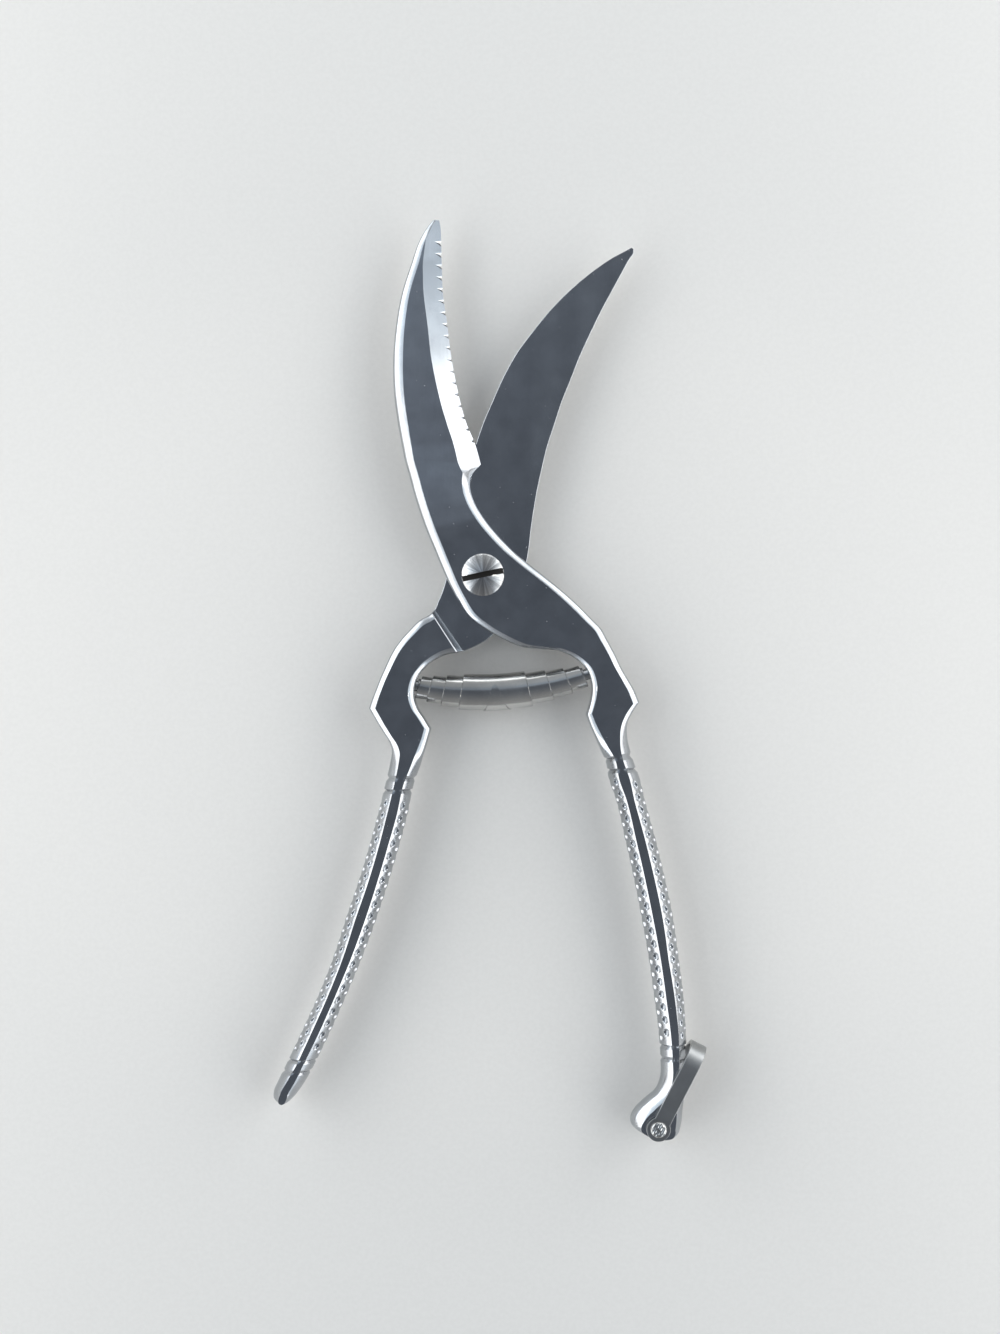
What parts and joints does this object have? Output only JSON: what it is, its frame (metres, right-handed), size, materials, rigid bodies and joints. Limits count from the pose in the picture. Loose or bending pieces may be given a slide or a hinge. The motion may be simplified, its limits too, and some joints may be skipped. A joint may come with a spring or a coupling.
{
  "type": "poultry shears",
  "caption": "Hand shears with two curved blades, one serrated, on a slotted pivot screw, with a volute spring between the arms and a strap latch on one handle.",
  "frame": {"origin": "on the pivot axis, at the flat end of the pivot screw where it comes through the nut at the back", "axes": "+Z along the pivot axis towards the slotted screw head, +Y from the pivot to the blade tips, +X towards the handle that carries the latch"},
  "size_m": [0.1168, 0.2475, 0.0152],
  "materials": {
    "polished_steel": "satin polished",
    "screw_steel": "bright turned",
    "spring_steel": "bright rolled strip",
    "strap_steel": "dull satin",
    "rivet_steel": "hammered satin"
  },
  "bodies": {
    "serrated_body": {"serrated_half": "polished_steel", "pivot_screw": "screw_steel", "pivot_nut": "screw_steel", "spring_peg_right": "screw_steel", "spring_turn_7": "spring_steel", "latch_rivet": "rivet_steel"},
    "plain_body": {"plain_half": "polished_steel", "spring_peg_left": "screw_steel", "spring_turn_1": "spring_steel"},
    "turn_2_body": {"spring_turn_2": "spring_steel"},
    "turn_3_body": {"spring_turn_3": "spring_steel"},
    "turn_4_body": {"spring_turn_4": "spring_steel"},
    "turn_5_body": {"spring_turn_5": "spring_steel"},
    "turn_6_body": {"spring_turn_6": "spring_steel"},
    "latch_body": {"latch_strap": "strap_steel"}
  },
  "joints": [
    {"name": "pivot", "type": "hinge", "parent": "serrated_body", "child": "plain_body", "pos_m": [0, 0, 0.0077], "axis": [0, 0, 1], "range_deg": [0, 33], "stiffness_Nm_per_rad": 0.6, "springref_deg": -34.38},
    {"name": "latch_swing", "type": "hinge", "parent": "serrated_body", "child": "latch_body", "pos_m": [0.047, -0.1484, 0.0077], "axis": [0, 0, 1], "range_deg": [-245, 2]},
    {"name": "turn_2_travel", "type": "hinge", "parent": "serrated_body", "child": "turn_2_body", "pos_m": [0.00186, 0.00011, 0.0077], "axis": [0, 0, 1], "range_deg": [0, 27.61]},
    {"name": "turn_3_travel", "type": "hinge", "parent": "serrated_body", "child": "turn_3_body", "pos_m": [0.00406, 0.00046, 0.0077], "axis": [0, 0, 1], "range_deg": [0, 22.06]},
    {"name": "turn_4_travel", "type": "hinge", "parent": "serrated_body", "child": "turn_4_body", "pos_m": [0.00865, 0.01055, 0.0077], "axis": [0, 0, 1], "range_deg": [0, 12.85]},
    {"name": "turn_5_travel", "type": "hinge", "parent": "serrated_body", "child": "turn_5_body", "pos_m": [0.00597, 0.03098, 0.0077], "axis": [0, 0, 1], "range_deg": [0, 5.72]},
    {"name": "turn_6_travel", "type": "hinge", "parent": "serrated_body", "child": "turn_6_body", "pos_m": [0.00525, 0.03743, 0.0077], "axis": [0, 0, 1], "range_deg": [0, 2.6]}
  ],
  "couplings": [
    {"joint": "turn_2_travel", "follows": "pivot", "ratio": 0.8364},
    {"joint": "turn_3_travel", "follows": "pivot", "ratio": 0.6681},
    {"joint": "turn_4_travel", "follows": "pivot", "ratio": 0.3891},
    {"joint": "turn_5_travel", "follows": "pivot", "ratio": 0.1731},
    {"joint": "turn_6_travel", "follows": "pivot", "ratio": 0.0784}
  ]
}
